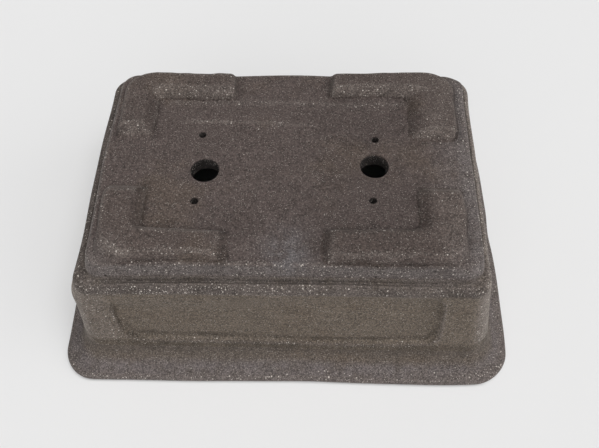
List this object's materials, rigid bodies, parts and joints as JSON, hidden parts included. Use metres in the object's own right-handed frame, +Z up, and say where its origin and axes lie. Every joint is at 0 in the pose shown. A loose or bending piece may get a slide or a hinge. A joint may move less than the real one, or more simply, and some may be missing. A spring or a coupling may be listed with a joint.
{
  "type": "plant pot",
  "caption": "Rectangular unglazed clay plant pot with an out-turned lip, panelled walls, L-shaped corner feet, drain holes and wire holes, lying upside down on its rim.",
  "frame": {"origin": "centre of the pot's mouth, on the surface that the rim lies on", "axes": "The pot lies upside down on its rim, as pictured. +X along the pot, -Y its front, +Z up, out of the underside towards the feet. For planting it is turned half a turn about X, and then stands on its feet."},
  "size_m": [0.262, 0.1924, 0.0929],
  "materials": {
    "base_clay": "unglazed, sandy, matt brown-grey",
    "wall_clay": "unglazed, sandy, matt warm brown",
    "rim_clay": "unglazed, sandy, matt purple-grey",
    "foot_clay": "unglazed, sandy, matt, worn along the edges",
    "seam_clay": "unglazed, thumbed smooth, matt"
  },
  "bodies": {
    "root": {"floor_slab": "base_clay", "front_wall": "wall_clay", "back_wall": "wall_clay", "left_wall": "wall_clay", "right_wall": "wall_clay", "front_rim": "rim_clay", "back_rim": "rim_clay", "left_rim": "rim_clay", "right_rim": "rim_clay", "foot_front_left": "foot_clay", "foot_front_right": "foot_clay", "foot_back_left": "foot_clay", "foot_back_right": "foot_clay", "front_seam_coil": "seam_clay", "back_seam_coil": "seam_clay", "left_seam_coil": "seam_clay", "right_seam_coil": "seam_clay"}
  },
  "joints": []
}
